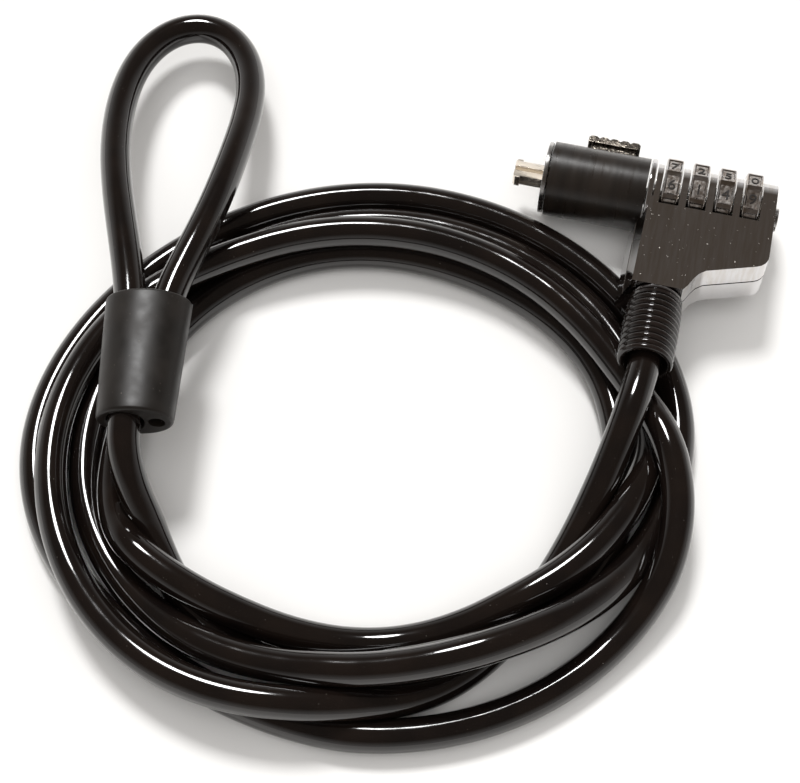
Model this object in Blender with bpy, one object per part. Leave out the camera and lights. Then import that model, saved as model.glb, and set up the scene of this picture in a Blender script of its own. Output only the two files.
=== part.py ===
"""Laptop cable lock: a four-dial combination head on a coiled cable with an eye loop.

The lock head is modelled about its barrel: X runs from the locking tip to the reset disc, the
button is on +Y, the cable leaves on -Y and the flat cover faces +Z. A parent empty then stands the
head on the surface, pitched up a little so that the strain relief clears the cable under it.
"""

import math

import bmesh
import bpy
import numpy as np
from mathutils import Matrix, Vector

MM = 0.001
GAP = 0.3 * MM

# Cable and coil
CABLE_R = 3.1 * MM
COIL_CENTRE = (-44.3 * MM, -49.4 * MM)
COIL_INNER_R = 39.5 * MM
COIL_OUTER_R = 65.0 * MM
COIL_HEIGHT = 12.4 * MM
SHOULDER_HEIGHT = 6.2 * MM

# Barrel, counted from the shoulder between nose and body
DIAL_COUNT = 4
DIAL_PITCH = 5.4 * MM
FIRST_DIAL_X = 4.6 * MM
DIAL_WIDTH = 3.4 * MM
DIAL_R = 8.6 * MM
DIAL_FACES = 10
SLOT_WIDTH = DIAL_WIDTH + 2 * GAP
SLOT_R = DIAL_R + 0.4 * MM
SLEEVE_R = 3.95 * MM
SLEEVE_LENGTH = 3.0 * MM
SLEEVE_BORE_R = 2.2 * MM
BARREL_R = 6.9 * MM
BARREL_BORE_R = 3.6 * MM
BARREL_END_X = 25.8 * MM
DISC_R = 2.4 * MM

# Body plate below the barrel, split into two shells at the parting height
BODY_START_X = 0.8 * MM
NECK_Y = -27.2 * MM
COVER_Z = 6.2 * MM
BACK_Z = -3.2 * MM
PARTING_Z = 1.5 * MM
FOOT_Z = -9.0 * MM
FOOT_HALF_WIDTH = 3.5 * MM
DRAFT_START_Y = -8.7 * MM  # the drafted left wall starts clear of the nose and its collar

# Nose and locking tip
NOSE_LENGTH = 20.0 * MM
NOSE_R = 7.6 * MM
NOSE_BORE_R = 6.8 * MM
PLATE_THICKNESS = 0.9 * MM
TIP_END_X = -27.4 * MM
JAW_PIVOT_X = -14.2 * MM
JAW_HALF_THICKNESS = 1.3 * MM

# Push button
BUTTON_START_X = -13.8 * MM
BUTTON_END_X = -3.0 * MM
BUTTON_TOP_Y = 11.2 * MM
BUTTON_PAD_Y = 9.3 * MM
BUTTON_HALF_DEPTH = 3.0 * MM
STEM_LOW_Y = 3.6 * MM  # clears the jaws and the spindle at the full travel of 1.4 mm
STEM_HALF_DEPTH = 2.2 * MM
FOOT_LOW_Y = -0.7 * MM
RAMP = 0.72  # how far the slider moves along X for each unit of button travel
SLIDER_HALF_Y = 1.4 * MM
SLIDER_HALF_Z = 1.6 * MM
SLIDER_END_X = -4.6 * MM

# Strain relief and the cable's anchor, on one axis below the neck
RELIEF_X = 5.8 * MM
RELIEF_Z = PARTING_Z
RELIEF_START_Y = NECK_Y - GAP
RELIEF_LENGTH = 15.5 * MM
RELIEF_R = 5.6 * MM
RELIEF_RIBS = 9

# Eye loop's sleeve: centre, direction and size
SLEEVE_BACK = Vector((-83.5, -62.6, 19.0)) * MM
SLEEVE_FRONT = Vector((-88.4, -37.1, 19.0)) * MM
SLEEVE_BACK_SIZE = (7.2 * MM, 5.1 * MM)
SLEEVE_FRONT_SIZE = (8.3 * MM, 5.5 * MM)
SLEEVE_WALL = 1.2 * MM
CRIMP_LENGTH = 12.0 * MM
LEG_ASIDE = 3.4 * MM  # each leg of the eye, from the sleeve's middle
TAIL_ASIDE = 1.8 * MM
SPARE_HOLE_ASIDE = 4.1 * MM
SPARE_HOLE_R = 1.6 * MM

# Barrel seats and the body screws' holes
COLLAR_SEAT_R = 8.0 * MM
COLLAR_SEAT_END = 1.4 * MM
BORE_END_X = 23.2 * MM
POCKET_R = 3.5 * MM
POCKET_END_Y = -13.5 * MM
SCREW_SHAFT_R = 1.1 * MM
SCREW_HEAD_R = 1.9 * MM

# The head stands on its feet, and its footprint is centred on the origin
PITCH = math.radians(-5.5)
FAR_Y = RELIEF_START_Y - RELIEF_LENGTH
HEAD_X = -(TIP_END_X + BARREL_END_X + 1.1 * MM) / 2
HEAD_Y = -(FAR_Y + BUTTON_TOP_Y) / 2 * math.cos(PITCH)
HEAD_Z = -FOOT_Z * math.cos(PITCH) - FOOT_HALF_WIDTH * math.sin(PITCH)


def clear_scene():
    for item in list(bpy.data.objects):
        bpy.data.objects.remove(item)


def material(name, colour, roughness, metallic):
    made = bpy.data.materials.get(name)
    if made:
        return made
    made = bpy.data.materials.new(name)
    made.use_nodes = True
    shader = made.node_tree.nodes["Principled BSDF"]
    shader.inputs["Base Color"].default_value = (*colour, 1.0)
    shader.inputs["Roughness"].default_value = roughness
    shader.inputs["Metallic"].default_value = metallic
    return made


def chrome():
    return material("chrome", (0.78, 0.78, 0.80), 0.08, 1.0)


def steel():
    return material("steel", (0.62, 0.61, 0.58), 0.3, 1.0)


def brass():
    return material("brass", (0.72, 0.55, 0.27), 0.35, 1.0)


def black_sleeve():
    return material("black_sleeve", (0.02, 0.02, 0.022), 0.35, 0.0)


def black_vinyl():
    return material("black_vinyl", (0.012, 0.012, 0.013), 0.15, 0.0)


def place(name, bm, look, parent=None, origin=(0, 0, 0)):
    """Turns a bmesh into a named object whose origin is the given point."""
    bmesh.ops.recalc_face_normals(bm, faces=bm.faces)
    bmesh.ops.translate(bm, vec=-Vector(origin), verts=bm.verts)
    mesh = bpy.data.meshes.new(name)
    bm.to_mesh(mesh)
    bm.free()
    mesh.shade_smooth()
    mesh.set_sharp_from_angle(angle=math.radians(35))
    mesh.materials.append(look)
    made = bpy.data.objects.new(name, mesh)
    made.location = origin
    made.parent = parent
    bpy.context.scene.collection.objects.link(made)
    return made


def boolean(target, others, operation="DIFFERENCE"):
    """Adds one Boolean for each helper, and keeps the helpers out of the model."""
    for other in others:
        modifier = target.modifiers.new(operation.title(), "BOOLEAN")
        modifier.operation = operation
        modifier.object = other
        other.hide_render = True
        other.display_type = "WIRE"


def block(low, high):
    bm = bmesh.new()
    size = [b - a for a, b in zip(low, high)]
    centre = [(a + b) / 2 for a, b in zip(low, high)]
    shape = Matrix.Translation(centre) @ Matrix.Diagonal((*size, 1))
    bmesh.ops.create_cube(bm, size=1, matrix=shape)
    return bm


def prism(outline, low, high):
    """Extrudes an XY outline from one height to another."""
    bm = bmesh.new()
    face = bm.faces.new([bm.verts.new((x, y, low)) for x, y in outline])
    made = bmesh.ops.extrude_face_region(bm, geom=[face])
    top = [v for v in made["geom"] if isinstance(v, bmesh.types.BMVert)]
    bmesh.ops.translate(bm, vec=(0, 0, high - low), verts=top)
    return bm


def turned(profile, axis="X", steps=32, closed=False, centre=(0, 0, 0)):
    """Spins (distance along the axis, radius) points; closed joins the last point to the first."""
    bm = bmesh.new()
    points = [bm.verts.new((along, 0, radius)) for along, radius in profile]
    pairs = list(zip(points, points[1:])) + ([(points[-1], points[0])] if closed else [])
    edges = [bm.edges.new(pair) for pair in pairs]
    bmesh.ops.spin(
        bm, geom=points + edges, axis=(1, 0, 0), cent=(0, 0, 0), angle=math.tau, steps=steps
    )
    bmesh.ops.remove_doubles(bm, verts=bm.verts, dist=1e-6)
    turn = {"X": Matrix(), "Y": Matrix.Rotation(math.pi / 2, 4, "Z")}
    turn["Z"] = Matrix.Rotation(-math.pi / 2, 4, "Y")
    bmesh.ops.transform(bm, matrix=Matrix.Translation(centre) @ turn[axis], verts=bm.verts)
    return bm


def rod(radius, start, end, axis="X", steps=32, centre=(0, 0, 0)):
    return turned([(start, 0), (start, radius), (end, radius), (end, 0)], axis, steps, False, centre)


def tube(inner, outer, start, end, axis="X", steps=32, centre=(0, 0, 0)):
    ring = [(start, inner), (start, outer), (end, outer), (end, inner)]
    return turned(ring, axis, steps, True, centre)


def smooth_route(points, spacing):
    """Even steps along the Catmull-Rom curve through the route's points."""
    route = np.array([tuple(p) for p in points])
    ends = (2 * route[:1] - route[1:2], route, 2 * route[-1:] - route[-2:-1])
    padded = np.concatenate(ends)
    t = np.linspace(0, 1, 24, endpoint=False)[:, None]
    pieces = []
    for a, b, c, d in zip(padded, padded[1:], padded[2:], padded[3:]):
        cubic = (3 * b - a - 3 * c + d) * t**3 + (2 * a - 5 * b + 4 * c - d) * t**2
        pieces.append((cubic + (c - a) * t + 2 * b) / 2)
    fine = np.concatenate(pieces + [route[-1:]])
    run = np.concatenate([[0], np.cumsum(np.linalg.norm(np.diff(fine, axis=0), axis=1))])
    places = np.linspace(0, run[-1], max(2, round(run[-1] / spacing)) + 1)
    return np.stack([np.interp(places, run, fine[:, i]) for i in range(3)], axis=1)


def swept(name, points, radius, look, parent=None, sides=2):
    """A round tube along the points, with flat capped ends."""
    curve = bpy.data.curves.new(name, "CURVE")
    curve.dimensions = "3D"
    curve.bevel_depth = radius
    curve.bevel_resolution = sides
    curve.use_fill_caps = True
    curve.twist_mode = "MINIMUM"
    spline = curve.splines.new("POLY")
    spline.points.add(len(points) - 1)
    for spot, point in zip(spline.points, points):
        spot.co = (*point, 1)
    curve.materials.append(look)
    made = bpy.data.objects.new(name, curve)
    made.parent = parent
    bpy.context.scene.collection.objects.link(made)
    return made


def spring(name, start, end, radius, wire, turns, axis, centre, parent):
    """A helical spring along X or Y."""
    t = np.linspace(0, 1, turns * 10 + 1)
    angle = t * turns * math.tau
    along = start + (end - start) * t
    across = (radius * np.cos(angle), radius * np.sin(angle))
    path = (along, *across) if axis == "X" else (across[0], along, across[1])
    points = np.stack(path, axis=1) + np.array(centre)
    return swept(name, points, wire, steel(), parent, sides=1)


def dial_centres():
    return [FIRST_DIAL_X + i * DIAL_PITCH for i in range(DIAL_COUNT)]


def plate_outline(start_x):
    """The flat cover's outline: a neck for the cable, a concave sweep and one rounded corner."""
    outline = [(start_x, 0), (start_x - 0.4 * MM, NECK_Y), (10.4 * MM, NECK_Y)]
    sweep = [(11.2, -26.0), (12.0, -24.2), (12.9, -22.7), (14.2, -21.6)]
    outline += [(x * MM, y * MM) for x, y in sweep]
    corner_x, corner_y, corner_r = 22.6 * MM, -15.2 * MM, 3.2 * MM
    for step in range(5):
        angle = math.radians(-70 + step * 70 / 4)
        x = corner_x + corner_r * math.cos(angle)
        outline.append((x, corner_y + corner_r * math.sin(angle)))
    return outline + [(BARREL_END_X, 0)]


def shell_cutters(head, label):
    """One turned cutter for all that lies on the barrel's axis, and the cable's pocket."""
    start, end = -1 * MM, 27 * MM
    profile = [(start, 0), (start, COLLAR_SEAT_R), (COLLAR_SEAT_END, COLLAR_SEAT_R),
               (COLLAR_SEAT_END, BARREL_BORE_R)]
    for x in dial_centres():
        left, right = x - SLOT_WIDTH / 2, x + SLOT_WIDTH / 2
        profile += [(left, BARREL_BORE_R), (left, SLOT_R), (right, SLOT_R), (right, BARREL_BORE_R)]
    profile += [(BORE_END_X, BARREL_BORE_R), (BORE_END_X, DISC_R + GAP), (end, DISC_R + GAP),
                (end, 0)]
    pocket = rod(POCKET_R, NECK_Y - 1 * MM, POCKET_END_Y, "Y", 20, (RELIEF_X, 0, RELIEF_Z))
    return [place(label + "_bores", turned(profile, "X", 40), steel(), head),
            place(label + "_pocket", pocket, steel(), head)]


SCREW_SPOTS = [(14.0 * MM, -15.2 * MM), (21.4 * MM, -12.4 * MM)]


def drafted_wall():
    """The left wall leans outwards towards the back, as a casting's does."""
    outline = [(2.0, -3.2), (-1.9, -3.2), (-0.9, 1.5), (0.9, 6.0)]
    bm = prism([(x * MM, z * MM) for x, z in outline], -DRAFT_START_Y, -NECK_Y)
    bmesh.ops.transform(bm, matrix=Matrix.Rotation(math.pi / 2, 4, "X"), verts=bm.verts)
    return bm


def shell(head, name, removed_low, removed_high, additions=(), holes=()):
    """The plate and the barrel in one, with the band of heights that the other shell fills cut away."""
    made = place(name, prism(plate_outline(BODY_START_X), BACK_Z, COVER_Z), chrome(), head)
    barrel = rod(BARREL_R, BODY_START_X + 0.1 * MM, BARREL_END_X - 0.1 * MM)
    joined = [place(name + "_barrel", barrel, chrome(), head),
              place(name + "_wall", drafted_wall(), chrome(), head)]
    boolean(made, [*joined, *additions], "UNION")
    other_half = block((-5 * MM, -40 * MM, removed_low), (40 * MM, 20 * MM, removed_high))
    cutters = [place(name + "_parting", other_half, chrome(), head), *holes]
    boolean(made, cutters + shell_cutters(head, name))


def make_upper_shell(head):
    holes = []
    for i, (x, y) in enumerate(SCREW_SPOTS):
        bm = rod(SCREW_SHAFT_R, 0, 4.8 * MM, "Z", 16, (x, y, 0))
        holes.append(place(f"upper_screw_cutter_{i}", bm, steel(), head))
    shell(head, "upper_shell", -20 * MM, PARTING_Z + GAP / 2, (), holes)


def make_lower_shell(head):
    feet = []
    for i in (0, 2):
        rib_x = dial_centres()[i] + DIAL_PITCH / 2
        half = (DIAL_PITCH - SLOT_WIDTH) / 2
        bm = block((rib_x - half, -FOOT_HALF_WIDTH, FOOT_Z), (rib_x + half, FOOT_HALF_WIDTH, -5 * MM))
        feet.append(place(f"foot_{i}", bm, chrome(), head))
    holes = [place("detent_cutter", block((2.2 * MM, -10.1 * MM, -1.4 * MM),
                                          (23.2 * MM, -9.15 * MM, 2 * MM)), steel(), head)]
    for i, (x, y) in enumerate(SCREW_SPOTS):
        for label, radius, high in (("shaft", SCREW_SHAFT_R, 2), ("head", SCREW_HEAD_R, -1.9)):
            bm = rod(radius, -4 * MM, high * MM, "Z", 16, (x, y, 0))
            holes.append(place(f"lower_{label}_cutter_{i}", bm, steel(), head))
    shell(head, "lower_shell", PARTING_Z - GAP / 2, 20 * MM, feet, holes)


def make_body_screws(head):
    profile = [(-3.1, 0), (-3.1, 1.6), (-2.2, 1.6), (-2.2, 0.8), (4.4, 0.8), (4.4, 0)]
    for i, (x, y) in enumerate(SCREW_SPOTS):
        shape = [(along * MM, radius * MM) for along, radius in profile]
        place(f"body_screw_{i + 1}", turned(shape, "Z", 16, False, (x, y, 0)), steel(), head,
              (x, y, 0))


def make_detent_spring(head):
    low, high = (2.6 * MM, -9.75 * MM, -1.1 * MM), (22.8 * MM, -9.5 * MM, 1.2 * MM)
    place("detent_spring", block(low, high), steel(), head)


def make_dial(head, number, x):
    """A ten-sided number dial with chamfered rims, its bore open for the code sleeve."""
    half, rim = DIAL_WIDTH / 2, 0.4 * MM
    bore = SLEEVE_R + GAP
    ring = [(-half, bore), (-half, DIAL_R - rim), (rim - half, DIAL_R), (half - rim, DIAL_R),
            (half, DIAL_R - rim), (half, bore)]
    bm = turned([(x + along, radius) for along, radius in ring], "X", DIAL_FACES, True)
    place(f"number_dial_{number}", bm, chrome(), head, (x, 0, 0))


def make_code_sleeve(head, number, x):
    """The brass sleeve inside a dial, with the gate that lets the spindle's fin through."""
    half = SLEEVE_LENGTH / 2
    sleeve = place(f"code_sleeve_{number}", tube(SLEEVE_BORE_R, SLEEVE_R, x - half, x + half, "X", 24),
                   brass(), head, (x, 0, 0))
    gate = block((x - 4 * MM, -0.7 * MM, 1 * MM), (x + 4 * MM, 0.7 * MM, 3.4 * MM))
    boolean(sleeve, [place(f"gate_cutter_{number}", gate, steel(), head)])


def make_code_spindle(head):
    """A rod through all the sleeves, with one fin ahead of each."""
    radius, fin_r = 1.8 * MM, 3.1 * MM
    profile = [(-4.3 * MM, 0), (-4.3 * MM, radius)]
    for x in dial_centres():
        profile += [(x - 3.4 * MM, radius), (x - 3.4 * MM, fin_r), (x - 2.8 * MM, fin_r),
                    (x - 2.8 * MM, radius)]
    profile += [(21.9 * MM, radius), (21.9 * MM, 0)]
    place("code_spindle", turned(profile, "X", 20), steel(), head)


def ramp_x(y):
    """Where the foot's slanted face stands at a height across the nose."""
    return -7.0 * MM + (y - 1.8 * MM) * RAMP


def make_drive_slider(head):
    """The wedge that the button's foot pushes along the barrel."""
    outline = [(ramp_x(SLIDER_HALF_Y) + GAP, SLIDER_HALF_Y),
               (ramp_x(-SLIDER_HALF_Y) + GAP, -SLIDER_HALF_Y),
               (SLIDER_END_X, -SLIDER_HALF_Y), (SLIDER_END_X, SLIDER_HALF_Y)]
    place("drive_slider", prism(outline, -SLIDER_HALF_Z, SLIDER_HALF_Z), steel(), head)


def make_push_button(head):
    """A ridged thumb pad on a stem, with a ramped foot inside the nose."""
    origin = ((BUTTON_START_X + BUTTON_END_X) / 2, BUTTON_TOP_Y, 0)
    ridge_count, groove = 5, 0.5 * MM
    pitch = (BUTTON_END_X - BUTTON_START_X) / ridge_count
    ridges = []
    for i in range(ridge_count):
        left = BUTTON_START_X + i * pitch
        ridges += [(left, BUTTON_TOP_Y - groove), (left + pitch * 0.25, BUTTON_TOP_Y),
                   (left + pitch * 0.75, BUTTON_TOP_Y)]
    outline = [(BUTTON_START_X, BUTTON_PAD_Y), *ridges, (BUTTON_END_X, BUTTON_TOP_Y - groove),
               (BUTTON_END_X, BUTTON_PAD_Y)]
    pad = prism(outline, -BUTTON_HALF_DEPTH, BUTTON_HALF_DEPTH)
    button = place("push_button", pad, chrome(), head, origin)
    overlap = 0.2 * MM
    stem = block((BUTTON_START_X + 0.8 * MM, STEM_LOW_Y, -STEM_HALF_DEPTH),
                 (BUTTON_END_X - 0.8 * MM, BUTTON_PAD_Y + overlap, STEM_HALF_DEPTH))
    foot_back, foot_top = -9.5 * MM, STEM_LOW_Y + overlap
    foot = prism([(foot_back, foot_top), (foot_back, FOOT_LOW_Y), (ramp_x(FOOT_LOW_Y), FOOT_LOW_Y),
                  (ramp_x(foot_top), foot_top)], -0.9 * MM, 0.9 * MM)
    boolean(button, [place("button_stem", stem, chrome(), head),
                     place("button_foot", foot, chrome(), head)], "UNION")


def make_nose(head):
    """The black nose sleeve, the zinc core that holds the mechanism, the front plate and collar."""
    start = -NOSE_LENGTH
    window_low = (-13.4 * MM, 0.4 * MM, -2.6 * MM)
    window_high = (-3.4 * MM, 9 * MM, 2.6 * MM)
    sleeve = place("nose_sleeve", tube(NOSE_BORE_R, NOSE_R, start, -GAP), black_sleeve(), head)
    boolean(sleeve, [place("sleeve_window", block(window_low, window_high), steel(), head)])
    core = place("nose_core", rod(NOSE_BORE_R - GAP, start, -GAP), steel(), head)
    channel = block((start - 1 * MM, -2.9 * MM, -1.9 * MM), (-4.2 * MM, 2.9 * MM, 1.9 * MM))
    pin_hole = rod(1.1 * MM, -5 * MM, 9 * MM, "Z", 16, (JAW_PIVOT_X, 0, 0))
    cutters = [block(window_low, window_high), channel, rod(3.4 * MM, -5 * MM, 1 * MM), pin_hole]
    boolean(core, [place(f"core_cutter_{i}", bm, steel(), head) for i, bm in enumerate(cutters)])
    plate = place("front_plate", rod(7.3 * MM, start - GAP - PLATE_THICKNESS, start - GAP), steel(),
                  head)
    slot = block((start - 3 * MM, -3 * MM, -1.7 * MM), (start + 1 * MM, 3 * MM, 1.7 * MM))
    boolean(plate, [place("plate_slot", slot, steel(), head)])
    place("front_collar", tube(3.7 * MM, 7.75 * MM, 0, 1.1 * MM), chrome(), head)


def make_jaw(head, name, side):
    """One half of the locking tip: an eye on the pivot pin and an arm with a small outward hook."""
    low, high = sorted((side * 0.15 * MM, side * 1.25 * MM))
    pivot = (JAW_PIVOT_X, 0, 0)
    eye = tube(1.1 * MM, 1.9 * MM, low, high, "Z", 20, pivot)
    jaw = place(name, eye, steel(), head, pivot)
    near, far, hook = 0.55 * MM, 2.0 * MM, 2.45 * MM
    end, notch = TIP_END_X, TIP_END_X + 1.4 * MM
    arm = [(end, near), (end, far), (end + 0.4 * MM, hook), (notch, hook), (notch, far),
           (-16.4 * MM, far), (-16.4 * MM, near)]
    link = [(-17 * MM, near), (-17 * MM, 1.8 * MM), (-14.6 * MM, 1.8 * MM), (-15.6 * MM, near)]
    flip = [(x, side * y) for x, y in arm]
    link_flip = [(x, side * y) for x, y in link]
    added = [place(name + "_arm", prism(flip, -JAW_HALF_THICKNESS, JAW_HALF_THICKNESS), steel(), head),
             place(name + "_link", prism(link_flip, low, high), steel(), head)]
    boolean(jaw, added, "UNION")


def make_jaw_pin(head):
    place("jaw_pin", rod(0.8 * MM, -4.2 * MM, 4.2 * MM, "Z", 16, (JAW_PIVOT_X, 0, 0)), steel(), head,
          (JAW_PIVOT_X, 0, 0))


def make_reset_disc(head):
    """The slotted disc on the barrel's end that is turned to set a new code."""
    end = BARREL_END_X + 1.1 * MM
    disc = place("reset_disc", rod(DISC_R, 23.6 * MM, end, "X", 24), steel(), head,
                 (BARREL_END_X, 0, 0))
    slot = block((end - 0.7 * MM, -3 * MM, -0.4 * MM), (end + 1 * MM, 3 * MM, 0.4 * MM))
    boolean(disc, [place("disc_slot", slot, steel(), head)])


def make_strain_relief(head):
    """A moulded relief: a collar against the neck, then round ribs, with a flared mouth."""
    collar, mouth = 1.8 * MM, 1.4 * MM
    start, end = RELIEF_START_Y, RELIEF_START_Y - RELIEF_LENGTH
    bore = CABLE_R + GAP
    profile = [(start, bore), (start, RELIEF_R - 0.2 * MM), (start - collar, RELIEF_R - 0.2 * MM)]
    pitch = (RELIEF_LENGTH - collar - mouth) / RELIEF_RIBS
    for i in range(RELIEF_RIBS):
        y = start - collar - i * pitch
        profile += [(y, 4.7 * MM), (y - 0.3 * pitch, RELIEF_R), (y - 0.7 * pitch, RELIEF_R)]
    profile += [(end + mouth, 4.7 * MM), (end + mouth, RELIEF_R), (end, RELIEF_R - 0.2 * MM),
                (end, bore + 0.9 * MM), (end + mouth, bore)]
    bm = turned(profile, "Y", 20, True, (RELIEF_X, 0, RELIEF_Z))
    place("strain_relief", bm, black_vinyl(), head)
    anchor = rod(3.2 * MM, RELIEF_START_Y, -14 * MM, "Y", 20, (RELIEF_X, 0, RELIEF_Z))
    place("cable_anchor", anchor, steel(), head)


def head_point(x, y, z, pitch=PITCH):
    """A point of the lock head, in the frame of the whole object."""
    turned_y = y * math.cos(pitch) - z * math.sin(pitch)
    turned_z = y * math.sin(pitch) + z * math.cos(pitch)
    return Vector((x + HEAD_X, turned_y + HEAD_Y, turned_z + HEAD_Z))


def lead_route():
    """From the anchor through the relief's mouth, over the coil's shoulder and down into it."""
    start = head_point(RELIEF_X, RELIEF_START_Y - GAP, RELIEF_Z)
    mouth = head_point(RELIEF_X, RELIEF_START_Y - RELIEF_LENGTH, RELIEF_Z)
    route = [(5.4, -34.5, 15.2), (4.2, -42.5, 14.0), (2.6, -51.0, 10.8)]
    return [start, start.lerp(mouth, 0.5), mouth] + [Vector(p) * MM for p in route]


def sleeve_directions():
    """Along the eye's sleeve from back to front, and level across it."""
    across = (SLEEVE_FRONT - SLEEVE_BACK).normalized()
    return across, across.cross(Vector((0, 0, 1))).normalized()


def tail_route():
    """Out of the coil's inner side and up into the sleeve."""
    route = [(-76.5, -80.0, 7.0), (-80.6, -76.0, 11.0), (-83.6, -70.6, 15.6)]
    across, aside = sleeve_directions()
    entry = SLEEVE_BACK - aside * TAIL_ASIDE
    return [Vector(p) * MM for p in route] + [entry - across * 1 * MM, entry + across * 5.7 * MM]


def loop_route():
    """The eye: out of the sleeve on its left, round the crown and back in on its right."""
    across, aside = sleeve_directions()
    depth = across * 7.0 * MM
    left = [SLEEVE_FRONT - aside * LEG_ASIDE - depth, SLEEVE_FRONT - aside * LEG_ASIDE]
    right = [SLEEVE_FRONT + aside * LEG_ASIDE, SLEEVE_FRONT + aside * LEG_ASIDE - depth]
    eye = [(-97.6, -24.5, 18.2), (-103.6, -10.6, 16.0), (-108.4, 2.5, 13.5), (-111.2, 20.0, 10.6),
           (-110.0, 30.4, 9.2), (-106.4, 37.4, 8.4), (-101.2, 40.2, 8.2), (-95.8, 39.0, 8.4),
           (-90.4, 33.8, 9.4), (-86.4, 26.0, 10.8), (-84.2, 16.4, 12.8), (-83.4, 6.0, 15.0),
           (-82.8, -6.0, 17.4), (-83.2, -20.0, 18.8)]
    return left + [Vector(p) * MM for p in eye] + right


def oval_loft(centres, sizes, steps=28):
    """A solid through oval sections: one centre and one (half width, half height) for each."""
    bm = bmesh.new()
    centres = [Vector(centre) for centre in centres]
    rings = []
    for i, (centre, (wide, tall)) in enumerate(zip(centres, sizes)):
        along = (centres[min(i + 1, len(centres) - 1)] - centres[max(i - 1, 0)]).normalized()
        side = along.cross(Vector((0, 0, 1))).normalized()
        up = side.cross(along)
        angles = [math.tau * step / steps for step in range(steps)]
        spots = [centre + side * wide * math.cos(a) + up * tall * math.sin(a) for a in angles]
        rings.append([bm.verts.new(spot) for spot in spots])
    for ring, following in zip(rings, rings[1:]):
        for j in range(steps):
            k = (j + 1) % steps
            bm.faces.new((ring[j], ring[k], following[k], following[j]))
    bm.faces.new(rings[0])
    bm.faces.new(rings[-1])
    return bm


def make_loop_sleeve():
    """The tapered oval sleeve, open for the loop's two legs, with the crimp pressed inside it."""
    across, aside = sleeve_directions()
    sizes = [SLEEVE_BACK_SIZE, SLEEVE_FRONT_SIZE]
    sleeve = place("loop_sleeve", oval_loft([SLEEVE_BACK, SLEEVE_FRONT], sizes), black_vinyl())
    inner = [(wide - SLEEVE_WALL, tall - SLEEVE_WALL) for wide, tall in sizes]
    ends = [SLEEVE_BACK + across * 1.5 * MM, SLEEVE_FRONT + across * 1 * MM]
    cutters = [place("sleeve_hollow", oval_loft(ends, inner), steel())]
    holes = (("tail", -TAIL_ASIDE, CABLE_R + GAP), ("spare", SPARE_HOLE_ASIDE, SPARE_HOLE_R))
    for label, offset, radius in holes:
        centre = SLEEVE_BACK + aside * offset
        ends = [centre - across * 2 * MM, centre + across * 4 * MM]
        hole = oval_loft(ends, [(radius, radius)] * 2, 20)
        cutters.append(place(f"sleeve_{label}_hole", hole, steel()))
    boolean(sleeve, cutters)
    start = SLEEVE_BACK + across * 6.0 * MM
    ends = [start, start + across * CRIMP_LENGTH]
    place("loop_crimp", oval_loft(ends, [(5.6 * MM, 3.6 * MM), (6.0 * MM, 3.6 * MM)], 20), steel())


def make_coil(lead, tail):
    """The coil's outer shape, turned about its own centre, with a seat for each end that joins it."""
    inner, outer = COIL_INNER_R, COIL_OUTER_R
    profile = [(0, inner + 1 * MM), (0, outer - 1 * MM), (3.1 * MM, outer),
               (SHOULDER_HEIGHT, outer - 2.2 * MM), (SHOULDER_HEIGHT, outer - 12 * MM),
               (COIL_HEIGHT - 1 * MM, outer - 14.5 * MM), (COIL_HEIGHT, outer - 16 * MM),
               (COIL_HEIGHT, inner + 5 * MM), (COIL_HEIGHT - 3 * MM, inner + 1.2 * MM),
               (3.1 * MM, inner)]
    bm = turned(profile, "Z", 64, True, (*COIL_CENTRE, 0))
    coil = place("cable_coil", bm, black_vinyl())
    seats = []
    for name, route in (("lead_seat", lead), ("tail_seat", tail[::-1])):
        beyond = (Vector(route[-1]) - Vector(route[-2])).normalized() * GAP
        centres = [*route, Vector(route[-1]) + beyond]
        size = (CABLE_R + GAP, CABLE_R + GAP)
        seats.append(place(name, oval_loft(centres, [size] * len(centres), 12), steel()))
    boolean(coil, seats)


def build():
    clear_scene()
    head = bpy.data.objects.new("head_frame", None)
    head.location = (HEAD_X, HEAD_Y, HEAD_Z)
    head.rotation_euler = (PITCH, 0, 0)
    bpy.context.scene.collection.objects.link(head)
    make_upper_shell(head)
    make_lower_shell(head)
    make_body_screws(head)
    make_detent_spring(head)
    for i, x in enumerate(dial_centres()):
        make_dial(head, i + 1, x)
        make_code_sleeve(head, i + 1, x)
    make_code_spindle(head)
    make_drive_slider(head)
    make_push_button(head)
    make_nose(head)
    make_jaw(head, "rear_jaw", 1)
    make_jaw(head, "front_jaw", -1)
    make_jaw_pin(head)
    make_reset_disc(head)
    make_strain_relief(head)
    spring("spindle_spring", -3.0 * MM, -0.7 * MM, 2.55 * MM, 0.25 * MM, 4, "X", (0, 0, 0), head)
    spring("button_spring", -2.4 * MM, 1.8 * MM, 0.7 * MM, 0.15 * MM, 4, "Y",
           (-10.9 * MM, 0, 0), head)
    lead = smooth_route(lead_route(), 2.2 * CABLE_R)
    tail = smooth_route(tail_route(), 2.2 * CABLE_R)
    swept("cable_lead", lead, CABLE_R, black_vinyl())
    swept("cable_tail", tail, CABLE_R, black_vinyl())
    swept("cable_loop", smooth_route(loop_route(), 2.2 * CABLE_R), CABLE_R, black_vinyl())
    make_loop_sleeve()
    make_coil(lead, tail)


build()
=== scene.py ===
import math

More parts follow.
